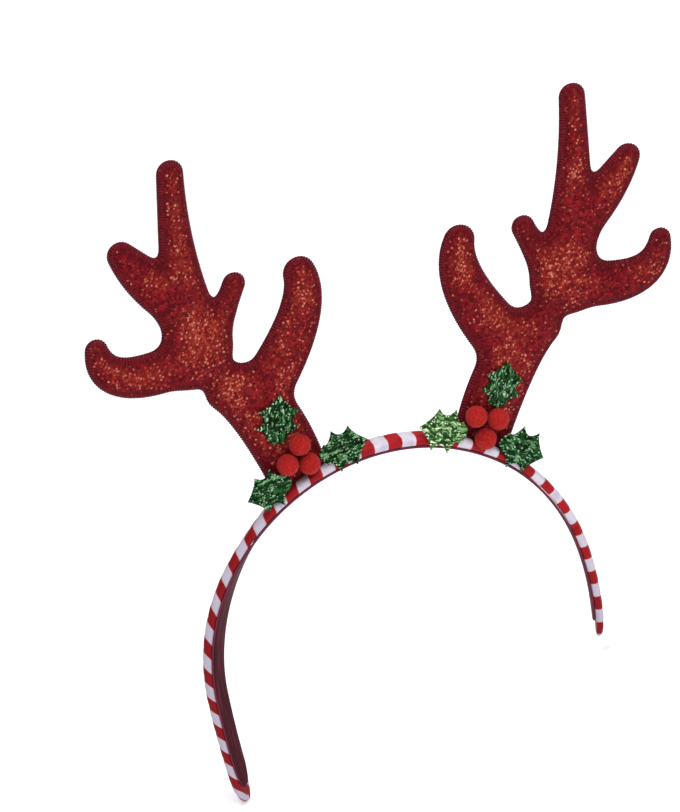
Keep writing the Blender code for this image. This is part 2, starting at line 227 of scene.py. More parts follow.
@dataclass(frozen=True)
class StripedRibbon:
    """Woven satin ribbon, red and white, wound side by side over the band."""

    red: str = "#a81018"
    deep_red: str = "#7e0a12"
    white: str = "#d3ccd8"
    shade_white: str = "#b5acbb"
    selvedge: str = "#b8646f"
    rib_mm: float = 0.5
    # The painted shade on the legs rises from the first of these turn counts off the crown to the
    # second
    crown_turn: float = 19.0
    lit_turns: float = 3.5
    shaded_turns: float = 9.0

    def build(self) -> Material:
        """Makes the material. It reads turns of the winding and millimetres round the band."""
        # Satin ribbon: smooth long floats give a soft gloss, and the fine weft shows as ribs
        graph = NodeGraph(
            "woven_satin_ribbon", Roughness=0.5, Specular_IOR_Level=0.12, Sheen_Weight=0.02
        )
        add = graph.add_node
        winding = add("SeparateXYZ", {0: add("UVMap", uv_map="winding")}).outputs
        shifted = add("Math", (winding[0], 0.5), operation="ADD")
        turn = add("Math", {0: shifted}, operation="FRACT")
        place = add("TexCoord").outputs["Object"]
        soil = add("TexNoise", {"Vector": place, "Scale": 260.0, "Detail": 4.0})
        clean_and_lit = add("ValToRGB", {0: turn}, self.stops(self.red, self.white))
        # The duller colours stand for random soil and, on the legs, for painted shade
        soil_and_shade_colour = add("ValToRGB", {0: turn}, self.stops(self.deep_red, self.shade_white))
        soiled = add("MapRange", (soil, 0.42, 0.72))
        # Painted shade: both legs are duller than the crown, as their sides take less of the light
        # from above
        off_crown = add("Math", (winding[0], self.crown_turn), operation="SUBTRACT")
        far = add("Math", {0: off_crown}, operation="ABSOLUTE")
        leg_shade = add("MapRange", (far, self.lit_turns, self.shaded_turns, 0.0, 0.95))
        soil_and_shade = add("Math", (soiled, leg_shade), operation="MAXIMUM")
        colour = add("Mix", {0: soil_and_shade, 6: clean_and_lit, 7: soil_and_shade_colour}, data_type="RGBA")
        # Ribs run round the band. Real weft is 0.25 mm, drawn at twice that so that it shows
        waves = (TURN_PAIR_MM / self.rib_mm * math.tau, math.tau / self.rib_mm)
        phases = [add("Math", (winding[k], waves[k]), operation="MULTIPLY") for k in (0, 1)]
        ribs = [add("Math", {0: phase}, operation="SINE") for phase in phases]
        weave = add("Math", (ribs[0], ribs[1]), operation="MULTIPLY")
        bump = add("Bump", {"Strength": 0.25, "Distance": 0.05 * MM, "Height": weave})
        return graph.finish(colour.outputs[2], bump)

    def stops(self, red: str, white: str) -> tuple:
        """Colour stops of one red and one white turn, with the ribbons' pink selvedges between."""
        red_turn = ((0.250, self.selvedge), (0.264, red), (0.736, red), (0.750, self.selvedge))
        return ((0.0, white), (0.236, white), *red_turn, (0.764, white))


@dataclass(frozen=True)
class WineSatin:
    """Satin lining ribbon in dark wine, with long floats that streak lengthwise."""

    dark: str = "#1a0309"
    body: str = "#400a18"
    light: str = "#6c2438"
    edge: str = "#6d3040"

    def build(self) -> Material:
        """Makes the material. It reads millimetres along and across the strip."""
        # Satin ribbon laid lengthwise: its floats catch the light in long streaks
        graph = NodeGraph("wine_satin_lining", Roughness=0.5, Specular_IOR_Level=0.05)
        add = graph.add_node
        strip = add("UVMap", uv_map="strip")
        streak = add("Mapping", {"Vector": strip, "Scale": (0.05, 1.6, 1.0)})
        field = add("TexNoise", {"Vector": streak, "Scale": 1.0, "Detail": 5.0})
        shades = ((0.30, self.dark), (0.50, self.body), (0.72, self.light))
        floats = add("ValToRGB", {0: field}, shades)
        # The woven edge is a thin pale line on each side of the strip
        rim = add("Attribute", attribute_name="rim").outputs["Fac"]
        line = add("MapRange", (rim, 0.80, 0.98))
        colour = add("Mix", {0: line, 6: floats, 7: linear(self.edge)}, data_type="RGBA")
        grain = add("Mapping", {"Vector": strip, "Scale": (0.3, 5.0, 1.0)})
        fine = add("TexNoise", {"Vector": grain, "Scale": 1.0, "Detail": 3.0})
        bump = add("Bump", {"Strength": 0.4, "Distance": 0.1 * MM, "Height": fine})
        return graph.finish(colour.outputs[2], bump)


@dataclass(frozen=True)
class GlitterFabric:
    """Knit cloth printed with red and copper glitter flakes."""

    dark: str = "#4a0710"
    body: str = "#690b15"
    bright: str = "#8c1a20"
    rust: str = "#7c1d18"
    copper: str = "#a5432f"
    peach: str = "#cf7f66"
    flake_mm: float = 0.85

    def build(self) -> Material:
        """Makes the material. It reads Object coordinates, the padding's loft and how far the
        padding faces up, for its painted top light.
        """
        # Glitter fabric: square flakes glued at random tilts, so single ones flash copper
        graph = NodeGraph(
            "copper_glitter_fabric", Roughness=0.5, Specular_IOR_Level=0.06, Metallic=0.1
        )
        add = graph.add_node
        place = add("TexCoord").outputs["Object"]
        # Glitter fabric: square flakes glued at random tilts, so single ones flash copper; the
        # flakes' copper is their own colour, and their flashes are painted glints in the base
        # colour
        flakes = add("TexVoronoi", {"Vector": place, "Scale": 1.0 / (self.flake_mm * MM)})
        random = add("SeparateColor", {0: flakes.outputs["Color"]}).outputs
        loft = add("Attribute", attribute_name="loft").outputs["Fac"]
        drift = add("TexNoise", {"Vector": place, "Scale": 48.0, "Detail": 3.0})
        wash = add("TexNoise", {"Vector": place, "Scale": 420.0, "Detail": 2.0})
        # Painted highlight: flashes gather on the full padding, which catches the light, and thin
        # out where the stitches pull it down
        patch = add("MapRange", (drift, 0.39, 0.57))
        gather = add("Math", (patch, loft), operation="MULTIPLY")
        lowered = add("MapRange", (gather, 0.0, 1.0, 0.90, 0.36))
        over = add("Math", (random[0], lowered), operation="SUBTRACT")
        flash = add("MapRange", (over, 0.0, 0.12))
        middle = add("MapRange", (flakes.outputs["Distance"], 0.66, 0.34))
        shown = add("Math", (flash, middle), operation="MULTIPLY")
        tone = add("Math", (random[1], wash), operation="MULTIPLY")
        # Painted shade: the cloth is darkened where it runs down to the stitches and along the thin
        # tips
        full = add("MapRange", (loft, 0.0, 1.0, 0.45, 1.0))
        tone = add("Math", (tone, full), operation="MULTIPLY")
        reds = ((0.04, self.dark), (0.22, self.body), (0.50, self.bright))
        plain = add("ValToRGB", {0: tone}, reds)
        # Painted light: where the padding faces up, towards the light above, the cloth is tinted
        # copper as if its flakes caught that light
        faces_up_share = add("Attribute", attribute_name="faces_up_share").outputs["Fac"]
        rusts = ((0.0, self.body), (0.6, self.rust), (1.0, self.copper))
        top_light_copper = add("ValToRGB", {0: random[2]}, rusts)
        top_light_share = add("MapRange", (faces_up_share, 0.35, 1.0, 0.12, 1.0))
        painted_top_light = add("Math", (gather, top_light_share), operation="MULTIPLY")
        cloth = add("Mix", {0: painted_top_light, 6: plain, 7: top_light_copper}, data_type="RGBA").outputs[2]
        # Painted glints: the flakes that show take rust, copper and peach colours
        coppers = ((0.0, self.rust), (0.55, self.copper), (1.0, self.peach))
        spark = add("ValToRGB", {0: random[2]}, coppers)
        colour = add("Mix", {0: shown, 6: cloth, 7: spark}, data_type="RGBA")
        bump = add("Bump", {"Strength": 0.55, "Distance": 0.18 * MM, "Height": random[1]})
        return graph.finish(colour.outputs[2], bump)


@dataclass(frozen=True)
class OverlockThread:
    """Twisted polyester thread in dark red."""

    dark: str = "#560e18"
    light: str = "#7c202c"

    def build(self) -> Material:
        """Makes the material, with a fine mottle for the twist."""
        # Polyester sewing thread: a tight twist with a slight sheen
        graph = NodeGraph(
            "polyester_thread", Roughness=0.5, Specular_IOR_Level=0.06, Sheen_Weight=0.03
        )
        add = graph.add_node
        place = add("TexCoord").outputs["Object"]
        # The twist's turns are about 0.6 mm apart
        field = add("TexNoise", {"Vector": place, "Scale": 1600.0, "Detail": 2.0})
        twist = add("ValToRGB", {0: field}, ((0.35, self.dark), (0.68, self.light)))
        return graph.finish(twist.outputs[0])


@dataclass(frozen=True)
class GreenTinsel:
    """Crinkled metallic foil cloth in dark green."""

    name: str = "crushed_green_foil"
    night: str = "#041205"
    deep: str = "#0a3014"
    leaf: str = "#255c2b"
    glint: str = "#7cac78"
    flare: str = "#b2d3ab"
    dots_per_mm: float = 1.15

    def build(self) -> Material:
        """Makes the material. It reads millimetres across and along the leaf."""
        # Laminated foil cloth: crushed facets, some mirror-bright and some in their own shade
        graph = NodeGraph(self.name, Roughness=0.42, Specular_IOR_Level=0.08, Metallic=0.25)
        add = graph.add_node
        flat = add("UVMap", uv_map="leaf").outputs[0]
        warp = add("TexNoise", {"Vector": flat, "Scale": 0.35, "Detail": 2.0}).outputs["Color"]
        bent = add("VectorMath", (warp, (3.0, 3.0, 0.0)), operation="MULTIPLY")
        moved = add("VectorMath", (flat, bent), operation="ADD")
        slant = {"Vector": moved, "Rotation": (0.0, 0.0, 0.8), "Scale": (2.2, 0.55, 1.0)}
        streaks = add("TexVoronoi", {"Vector": add("Mapping", slant), "Scale": 1.0})
        random = add("SeparateColor", {0: streaks.outputs["Color"]}).outputs
        greens = ((0.14, self.night), (0.52, self.deep), (0.84, self.leaf))
        facets = add("ValToRGB", {0: random[0]}, (*greens, (0.97, self.glint), (1.00, self.flare)))
        # Single facets that face the light show as small pale dots
        dots = add("TexVoronoi", {"Vector": flat, "Scale": self.dots_per_mm})
        lit = add("SeparateColor", {0: dots.outputs["Color"]}).outputs
        bright = add("MapRange", (lit[0], 0.47, 0.53))
        middle = add("MapRange", (dots.outputs["Distance"], 0.44, 0.24))
        shown = add("Math", (bright, middle), operation="MULTIPLY")
        pales = ((0.0, self.leaf), (0.3, self.glint), (0.9, self.flare))
        dot = add("ValToRGB", {0: lit[1]}, pales)
        colour = add("Mix", {0: shown, 6: facets, 7: dot}, data_type="RGBA")
        bump = add("Bump", {"Strength": 0.6, "Distance": 0.35 * MM, "Height": random[1]})
        return graph.finish(colour.outputs[2], bump)


@dataclass(frozen=True)
class BerryFelt:
    """Soft wool felt in bright red."""

    shade: str = "#86120f"
    body: str = "#a01815"
    nap: str = "#b92a22"

    def build(self) -> Material:
        """Makes the material, with the felt's matted fibres."""
        # Needle felt: matte all over, with a fine fibre nap that glows at the rim
        graph = NodeGraph("wool_felt", Roughness=0.95, Specular_IOR_Level=0.2, Sheen_Weight=0.03)
        add = graph.add_node
        place = add("TexCoord").outputs["Object"]
        # Fibre mats are about 0.7 mm across
        mats = add("TexNoise", {"Vector": place, "Scale": 1500.0, "Detail": 4.0})
        reds = ((0.30, self.shade), (0.50, self.body), (0.72, self.nap))
        fibres = add("ValToRGB", {0: mats}, reds)
        bump = add("Bump", {"Strength": 0.5, "Distance": 0.25 * MM, "Height": mats})
        return graph.finish(fibres.outputs[0], bump)


def select_only(piece: Piece | None = None) -> None:
    """Selects one piece and makes it active, or leaves nothing selected.

    Args:
        piece: The piece, or None.
    """
    for item in bpy.context.scene.objects:
        item.select_set(False)
    if piece:
        piece.select_set(True)
        bpy.context.view_layer.objects.active = piece


def vertex_places(piece: Piece) -> Array:
    """The piece's vertices, one row each."""
    flat = np.zeros(len(piece.data.vertices) * 3)
    piece.data.vertices.foreach_get("co", flat)
    return flat.reshape(-1, 3)


def mend_normals(piece: Piece, merge: float = 0.0) -> None:
    """Merges doubled points and turns the faces outwards.

    Args:
        piece: The object.
        merge: How near points are merged, or 0 for no merge.
    """
    select_only(piece)
    bpy.ops.object.mode_set(mode="EDIT")
    bpy.ops.mesh.select_all(action="SELECT")
    if merge:
        bpy.ops.mesh.remove_doubles(threshold=merge)
    bpy.ops.mesh.normals_make_consistent(inside=False)
    bpy.ops.object.mode_set(mode="OBJECT")


def object_from(name: str, points: Array, faces: list) -> Piece:
    """Makes an object from points and faces, with its faces pointing outwards.

    Args:
        name: The piece's name.
        points: Its vertices in metres.
        faces: Vertex numbers of each face.

    Returns:
        The object.
    """
    mesh = bpy.data.meshes.new(name)
    mesh.from_pydata([tuple(p) for p in points], [], faces)
    mesh.update()
    piece = bpy.data.objects.new(name, mesh)
    bpy.context.scene.collection.objects.link(piece)
    mend_normals(piece)
    return piece


def stood_up(flat: Array, depth: Array | float) -> Array:
    """Stands flat places up, each at its own depth behind the middle."""
    return np.stack([flat[:, 0], np.broadcast_to(depth, len(flat)), flat[:, 1]], axis=1)


def moved_by(points: Array, matrix: Matrix) -> Array:
    """The points as a matrix moves them."""
    rows = np.array(matrix)
    return points @ rows[:3, :3].T + rows[:3, 3]


def set_uv(piece: Piece, name: str, values: Array) -> None:
    """Writes a UV map from one pair of values for each vertex.

    Args:
        piece: The object.
        name: The map's name.
        values: Two values a vertex.
    """
    layer = piece.data.uv_layers.new(name=name)
    corners = np.zeros(len(piece.data.loops), np.int32)
    piece.data.loops.foreach_get("vertex_index", corners)
    layer.data.foreach_set("uv", values[corners].astype(np.float32).ravel())


def set_attribute(piece: Piece, name: str, values: Array) -> None:
    """Writes one number for each vertex, for a material to read."""
    layer = piece.data.attributes.new(name=name, type="FLOAT", domain="POINT")
    layer.data.foreach_set("value", np.asarray(values, np.float32))


def settle(piece: Piece, finish: Material, slot: str, *nodes: str) -> None:
    """Gives a finished piece its material and body, and hides the CAD nodes it stands for.

    Args:
        piece: The object.
        finish: Its material.
        slot: The record's material slot; not used.
        nodes: CAD nodes that the piece replaces.
    """
    piece.data.materials.clear()
    piece.data.materials.append(finish)
    select_only(piece)
    bpy.ops.object.shade_smooth()
    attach(piece, "root")
    if nodes:
        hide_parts(*nodes)
    log.info("%s: %d faces", piece.name, len(piece.data.polygons))


@dataclass(frozen=True)
class Leg:
    """One half of the band, as part of the band's route."""

    length: float
    curve_radius: float
    twist_deg: float
    twist_start: float
    twist_end: float
    swell: float


@dataclass(frozen=True)
class BandRoute:
    """The band's route along the cover's inner face, from the left tip to the right."""

    left: Leg = Leg(150.3 * MM, 400.0 * MM, 50.0, 0.0, 0.62, 1.13)
    right: Leg = Leg(145.2 * MM, 110.0 * MM, 15.0, 0.42, 0.85, 1.0)
    inner_radius: float = 72.5 * MM
    crown_half_deg: float = 85.2
    middle: float = 1.7 * MM

    def pick(self, along: Array, name: str) -> Array:
        """One of the legs' sizes at each place."""
        return np.where(along < 0, getattr(self.left, name), getattr(self.right, name))

    def frames(self, along: Array) -> tuple[Array, Array, Array]:
        """Points on the route with the directions out of the arch and across the band.

        Args:
            along: Distances from the crown's middle, negative on the viewer's left.

        Returns:
            Points, outward directions and depth directions.
        """
        side, distance = np.where(along < 0, -1.0, 1.0), np.abs(along)
        half = math.radians(self.crown_half_deg)
        straight = self.inner_radius * half
        curve = self.pick(along, "curve_radius")
        on_crown = distance <= straight
        bent = half + (distance - straight) / curve
        angle = np.where(on_crown, distance / self.inner_radius, bent)
        centre = np.where(on_crown, 0.0, self.inner_radius - curve)
        reach = np.where(on_crown, self.inner_radius, curve)
        across = centre * math.sin(half) + reach * np.sin(angle)
        up = centre * math.cos(half) + reach * np.cos(angle)
        zero = np.zeros_like(across)
        point = np.stack([side * across, zero, up - HEAD_RADIUS], axis=1)
        outward = np.stack([side * np.sin(angle), zero, np.cos(angle)], axis=1)
        share = distance / self.pick(along, "length")
        turn = smoothstep(self.pick(along, "twist_start"), self.pick(along, "twist_end"), share)
        twist = (-side * np.radians(self.pick(along, "twist_deg")) * turn)[:, None]
        depth = np.array([[0.0, 1.0, 0.0]])
        turned_out = outward * np.cos(twist) + depth * np.sin(twist)
        turned_depth = depth * np.cos(twist) - outward * np.sin(twist)
        return point + (outward - turned_out) * self.middle, turned_out, turned_depth

    def shares(self, along: Array) -> tuple[Array, Array]:
        """The strip's width and thickness, which fall towards the tips.

        Args:
            along: Distances from the crown's middle.

        Returns:
            Shares of the full width and of the full thickness.
        """
        share = np.abs(along) / self.pick(along, "length")
        places = (0.0, 0.45, 0.75, 1.0)
        swell = 1.0 + (self.pick(along, "swell") - 1.0) * smoothstep(0.25, 0.6, share)
        width = np.interp(share, places, (1, 1, 0.97, 0.88))
        return width, np.interp(share, places, (1, 1, 0.92, 0.78)) * swell


class Spread(NamedTuple):
    """How far each point of a strip stands off its route, with what its material reads."""

    across: Array
    out: Array
    uv: Array
    rim: Array


@dataclass
class Strip:
    """A strip laid along the band's route and closed round itself, with rounded tips."""

    route: BandRoute
    width: float = BAND_WIDTH
    thickness: float = 3.4 * MM
    rounding: float = 1.4 * MM
    inset: float = 0.0
    columns: int = 620
    rows: int = 44
    tip_length: float = 10.0 * MM
    tip_end_share: float = 0.35

    def spread(self, along: Array, around: Array, narrow: Array, close: Array) -> Spread:
        """Shapes the strip's section.

        Args:
            along: Distances from the crown's middle.
            around: Shares of the way round the section.
            narrow: Shares of the width that are left towards the tips.
            close: Shares of the whole section that are left at the very ends.

        Returns:
            The points' distances from the route, and the material's values.
        """
        raise NotImplementedError

    def walk(self, xs: Array, zs: Array, around: Array) -> tuple[Array, Array, Array]:
        """Walks evenly round a closed section.

        Args:
            xs: Its width shares.
            zs: Its thickness shares.
            around: Shares of the way round.

        Returns:
            Width shares, thickness shares and the distance round in metres.
        """
        steps = np.hypot(np.diff(xs * self.width), np.diff(zs * self.thickness))
        lengths = np.concatenate([[0.0], np.cumsum(steps)])
        where = around * lengths[-1]
        return np.interp(where, lengths, xs), np.interp(where, lengths, zs), where

    def roll(self, name: str, uv_name: str) -> Piece:
        """Rolls a flat grid into the strip.

        Args:
            name: The piece's name.
            uv_name: Its UV map's name.

        Returns:
            The object, merged along its seam and at its ends.
        """
        select_only()
        bpy.ops.mesh.primitive_grid_add(
            x_subdivisions=self.columns, y_subdivisions=self.rows, size=1.0
        )
        piece = bpy.context.object
        piece.name = piece.data.name = name
        flat = vertex_places(piece)
        share, around = ((flat[:, k] - flat[:, k].min()) / np.ptp(flat[:, k]) for k in (0, 1))
        low, high = self.inset - self.route.left.length, self.route.right.length - self.inset
        along = low + (high - low) * share
        before_end = np.where(along < 0, along - low, high - along)
        into = np.clip(1.0 - before_end / self.tip_length, 0.0, 1.0)
        narrow = np.maximum(self.tip_end_share, np.sqrt(1.0 - into**2))
        close = np.sqrt(1.0 - (1.0 - np.clip(before_end / self.rounding, 0.0, 1.0)) ** 2)
        off = self.spread(along, around, narrow, close)
        point, outward, depth = self.route.frames(along)
        points = point + depth * off.across[:, None] + outward * off.out[:, None]
        piece.data.vertices.foreach_set("co", points.ravel())
        for layer in list(piece.data.uv_layers):
            piece.data.uv_layers.remove(layer)
        set_uv(piece, uv_name, off.uv)
        set_attribute(piece, "rim", off.rim)
        mend_normals(piece, merge=0.01 * MM)
        return piece


@dataclass
class StripedBand(Strip):
    """The band's cover: red and white ribbon wound side by side from tip to tip."""

    corner: float = 0.10
    squareness: float = 0.55
    swell: float = 0.20 * MM
    overlap: float = 0.18 * MM
    sink: float = 0.06 * MM
    lean_pivot: float = 0.77

    def turns(self, along: Array) -> Array:
        """Counts the red turns before a place. Each red turn's middle is a whole number.

        The turns spread a little over the right of the crown, as wound ribbon does on a bend.

        Args:
            along: Distances from the crown's middle.

        Returns:
            One count a place.
        """
        places = np.array([-141.8, 25.5, 69.0, 141.0]) * MM
        inside = np.interp(along, places, (1.0, 17.0, 21.0, 28.0))
        pitch = TURN_PAIR_MM * MM
        before, after = np.minimum(0, along - places[0]), np.maximum(0, along - places[-1])
        return inside + before / pitch + after / pitch

    def section(self, around: Array) -> tuple[Array, Array, Array]:
        """The wound section, flat inside and domed outside. Arguments and results are walk's."""
        arc = np.linspace(0.0, math.pi, 81)
        full = squared_off(np.cos(arc), self.squareness)
        tall = np.maximum(np.sin(arc), 0.0) ** self.squareness
        foot = np.array([0.0, 0.5 - self.corner, 0.5 - self.corner / 4])
        xs = np.concatenate([foot, 0.5 * full, -foot[::-1]])
        zs = np.concatenate([[0.0, 0.0, 0.12], 0.36 + 0.64 * tall, [0.12, 0.0, 0.0]])
        return self.walk(xs, zs, around)

    def spread(self, along: Array, around: Array, narrow: Array, close: Array) -> Spread:
        """Raises the turns and their laps. The arguments and results are Strip's."""
        x, z, where = self.section(around)
        side = where - where.max() / 2
        # The ribbon leans as it crosses the band, more and more down the left leg
        lean_places, leans = (-150.0, -70.0, -42.0, 0.0, 60.0), (9.0, 8.8, 4.5, 1.0, 0.2)
        lean = np.interp(along / MM, lean_places, leans) * MM
        turn = self.turns(along + lean * (side / self.width - self.lean_pivot))
        strip = (turn * 2.0 + 0.5) % 1.0
        dome = self.swell * (1.0 - (2.0 * strip - 1.0) ** 2)
        lap = self.overlap * strip**3
        raised = (dome + lap) * smoothstep(0.05, 0.5, z) - self.sink
        width_share, thick_share = self.route.shares(along)
        wide = self.width * width_share * narrow * close
        tall = self.thickness * thick_share * (0.5 + 0.5 * narrow)
        across = x * wide + raised * np.sign(x) * smoothstep(0.42, 0.5, np.abs(x)) * close
        out = (0.5 + (z - 0.5) * close) * tall + raised * smoothstep(0.4, 0.7, z) * close
        return Spread(across, out, np.stack([turn, side / MM], axis=1), np.zeros(len(along)))

    def build(self, finish: Material) -> None:
        """Makes the wound cover in place of its CAD solid."""
        settle(self.roll("ribbon_winding", "winding"), finish, "ribbon", "striped_cover")


@dataclass
class SatinLining(Strip):
    """The thin satin strip on the side that meets the head."""

    width: float = 8.0 * MM
    thickness: float = 1.16 * MM
    rounding: float = 1.0 * MM
    inset: float = 6.0 * MM
    columns: int = 300
    rows: int = 40
    glue_line: float = 0.04 * MM

    def spread(self, along: Array, around: Array, narrow: Array, close: Array) -> Spread:
        """Shapes a flat strip, thicker at its woven edges. Arguments and results are Strip's."""
        arc = np.linspace(0.0, math.tau, 400)
        xs = 0.5 * squared_off(np.cos(arc), 0.35)
        zs = 0.5 * squared_off(np.sin(arc), np.where(np.sin(arc) > 0, 0.2, 0.6))
        x, z, _ = self.walk(xs, zs, around)
        rim = smoothstep(0.42, 0.49, np.abs(x))
        tall = self.thickness * (0.82 + 0.18 * rim)
        width_share, _ = self.route.shares(along)
        out = -self.glue_line - self.thickness * 0.5 + z * tall * close
        pairs = np.stack([along / MM, x * self.width / MM], axis=1)
        return Spread(x * self.width * width_share * narrow * close, out, pairs, rim)

    def build(self, finish: Material) -> None:
        """Makes the lining in place of its CAD solid."""
        settle(self.roll("satin_lining", "strip"), finish, "lining", "band_lining")


# Each arm's root, bend and tip: how far across, how far up and how wide to each side, as shares
# of the half spread, the rise and the half spread
TINES = {
    "stem": ((0.286, -0.130, 0.090), (0.400, 0.130, 0.101), (0.524, 0.262, 0.080)),
    "main": ((0.626, 0.384, 0.111), (0.666, 0.668, 0.062), (0.677, 0.959, 0.041)),
    "outer_small": ((0.692, 0.563, 0.071), (0.781, 0.649, 0.064), (0.856, 0.738, 0.041)),
    "outer_curl": ((0.675, 0.367, 0.075), (0.878, 0.361, 0.062), (0.957, 0.459, 0.034)),
    "inner_small": ((0.586, 0.400, 0.062), (0.532, 0.498, 0.041), (0.490, 0.582, 0.035)),
    "inner_big": ((0.408, 0.237, 0.089), (0.284, 0.433, 0.071), (0.271, 0.578, 0.050)),
}


@dataclass(frozen=True)
class PairFrame:
    """Where the antlers and holly stand: turned along the band, and leaning back."""

    shift_deg: float = 11.4
    lean_deg: float = 4.7
    pivot: float = 68.0 * MM

    def matrix(self, leaning: bool) -> Matrix:
        """Turns a place in the pair's frame into one in the headband's.

        Args:
            leaning: Whether the piece leans back with the antlers.

        Returns:
            The matrix.
        """
        turned = Matrix.Rotation(math.radians(self.shift_deg), 4, "Y")
        base = Matrix.Translation((0, 0, -HEAD_RADIUS)) @ turned
        if not leaning:
            return base
        lift = Matrix.Translation((0, 0, self.pivot))
        return base @ lift @ Matrix.Rotation(math.radians(self.lean_deg), 4, "X") @ lift.inverted()


@dataclass(frozen=True)
class AntlerShape:
    """The flat outline of an antler and how far its padding swells."""

    half_spread: float = 112.7 * MM
    rise: float = 122.5 * MM
    band_top: float = 75.9 * MM
    notch: float = 5.0 * MM
    thickness: float = 4.8 * MM
    edge_thickness: float = 1.8 * MM
    padding_run: float = 8.5 * MM
    seam_inset: float = 1.5 * MM
    seam_pull: float = 0.22 * MM
    seam_width: float = 0.55 * MM

    def tine_distance(self, tine: tuple, points: Array) -> Array:
        """Distance from one arm's outline.

        Args:
            tine: The arm's root, bend and tip.
            points: Flat places, two numbers each.

        Returns:
            One distance a point, negative inside the arm.
        """
        x, z = points.T
        t = np.linspace(0.0, 1.0, 25)
        across, up, half = (through_three(t, *values) for values in zip(*tine))
        across, half = across * self.half_spread, half * self.half_spread
        up = self.band_top + up * self.rise
        nearest = np.full(x.shape, FAR)
        for i in range(len(t) - 1):
            run_x, run_z = across[i + 1] - across[i], up[i + 1] - up[i]
            share = ((x - across[i]) * run_x + (z - up[i]) * run_z) / (run_x**2 + run_z**2)
            share = np.clip(share, 0.0, 1.0)
            gap = np.hypot(x - across[i] - share * run_x, z - up[i] - share * run_z)
            nearest = np.minimum(nearest, gap - half[i] - share * (half[i + 1] - half[i]))
        return nearest

    def distance(self, points: Array) -> Array:
        """Distance from the whole outline, with the arms blended and the foot cut by the band.

        Args:
            points: Flat places, two numbers each.

        Returns:
            One distance a point, negative inside the antler.
        """
        first, *others = TINES.values()
        result = self.tine_distance(first, points)
        for tine in others:
            other = self.tine_distance(tine, points)
            mix = np.clip(0.5 + 0.5 * (other - result) / self.notch, 0.0, 1.0)
            result = other + (result - other) * mix - self.notch * mix * (1.0 - mix)
        return np.maximum(result, self.band_top + SEAT_GAP - np.hypot(*points.T))

    def inward(self, points: Array) -> Array:
        """The direction in which each point goes deeper into the antler.

        Args:
            points: Flat places, two numbers each.

        Returns:
            One unit direction a point.
        """
        steps = np.eye(2) * 0.1 * MM
        slopes = [self.distance(points + step) - self.distance(points - step) for step in steps]
        slope = np.stack(slopes, axis=1)
        return -slope / np.maximum(np.linalg.norm(slope, axis=1, keepdims=True), TINY)

    def half_thickness(self, points: Array) -> Array:
        """Half the padded thickness, pulled down a little along the needle thread's line.

        Args:
            points: Flat places, two numbers each.

        Returns:
            One half thickness a point.
        """
        depth = -self.distance(points)
        rise = np.clip(depth / self.padding_run, 0.0, 1.0)
        swell = np.sqrt(1.0 - (1.0 - rise) ** 2)
        half = (self.edge_thickness + (self.thickness - self.edge_thickness) * swell) / 2
        pull = self.seam_pull * np.exp(-(((depth - self.seam_inset) / self.seam_width) ** 2))
        return half - pull

    def field(self, step: float) -> tuple[Array, Array, Array]:
        """The distance on a grid that holds the whole antler.

        Args:
            step: The grid's spacing.

        Returns:
            The grid's places across and up, and the distances.
        """
        x = np.arange(0.0, self.half_spread * 1.1 + 3 * step, step)
        z = np.arange(self.band_top * 0.6, self.band_top + self.rise * 1.1 + 3 * step, step)
        return x, z, self.distance(grid_points(x, z)).reshape(len(x), len(z))


def level_loops(x: Array, z: Array, field: Array, level: float) -> list[Array]:
    """Walks the closed lines on which a field on a grid has one level.

    Args:
        x: The grid's places across.
        z: The grid's places up.
        field: The field at each grid node.
        level: The level to follow.

    Returns:
        One array of points for each closed line.
    """
    inside = field < level
    links: dict[tuple, list] = {}
    for i in range(len(x) - 1):
        for j in range(len(z) - 1):
            corners = ((i, j), (i + 1, j), (i + 1, j + 1), (i, j + 1))
            signs = [inside[c] for c in corners]
            if all(signs) or not any(signs):
                continue
            edges = []
            for k in range(4):
                if signs[k] != signs[(k + 1) % 4]:
                    first, second = sorted((corners[k], corners[(k + 1) % 4]))
                    edges.append((*first, *second))
            if len(edges) == 4 and signs[0]:
                edges = edges[1:] + edges[:1]
            for first, second in zip(edges[::2], edges[1::2]):
                links.setdefault(first, []).append(second)
                links.setdefault(second, []).append(first)
    loops = []
    while links:
        start = min(links)
        walk, previous, here = [start], None, start
        while True:
            following = [edge for edge in links[here] if edge != previous]
            if not following or following[0] == start:
                break
            previous, here = here, following[0]
            walk.append(here)
        points = []
        for edge in walk:
            links.pop(edge, None)
            i, j, i2, j2 = edge
            share = (level - field[i, j]) / (field[i2, j2] - field[i, j])
            points.append((x[i] + share * (x[i2] - x[i]), z[j] + share * (z[j2] - z[j])))
        loops.append(np.array(points))
    return loops


def even_points(loop: Array, step: float) -> Array:
    """Spaces points evenly along a closed loop.

    Args:
        loop: The loop's points.
        step: The spacing, in metres.

    Returns:
        At least six points.
    """
    closed = np.vstack([loop, loop[:1]])
    lengths = np.concatenate([[0.0], np.cumsum(np.hypot(*np.diff(closed, axis=0).T))])
    count = max(6, round(lengths[-1] / step))
    places = np.arange(count) * lengths[-1] / count
    return np.stack([np.interp(places, lengths, closed[:, k]) for k in (0, 1)], axis=1)


def grid_points(x: Array, z: Array) -> Array:
    """Every pair of a place across and a place up, one row each."""
    return np.stack(np.meshgrid(x, z, indexing="ij"), axis=-1).reshape(-1, 2)


def plate(outline: Array, inner: Array) -> tuple[Array, list]:
    """Covers an outline with triangles on two sides and joins them round the edge.

    Args:
        outline: The outline's points in order.
        inner: Points inside it.

    Returns:
        The flat places of one side's vertices, and the faces of the front, then the back.
    """
    flat = np.vstack([outline, inner])
    count = len(outline)
    rim = [(i, (i + 1) % count) for i in range(count)]
    cut = delaunay_2d_cdt([Vector(p) for p in flat], rim, [], 1, 1e-7)
    places, _, triangles, origins, *_ = cut
    total = len(places)
    where = {origin[0]: i for i, origin in enumerate(origins) if origin}
    faces = [tuple(t) for t in triangles]
    faces += [tuple(total + i for i in reversed(t)) for t in triangles]
    for a, b in rim:
        i, j = where[a], where[b]
        faces.append((i, total + i, total + j, j))
    return np.array([tuple(p) for p in places]), faces


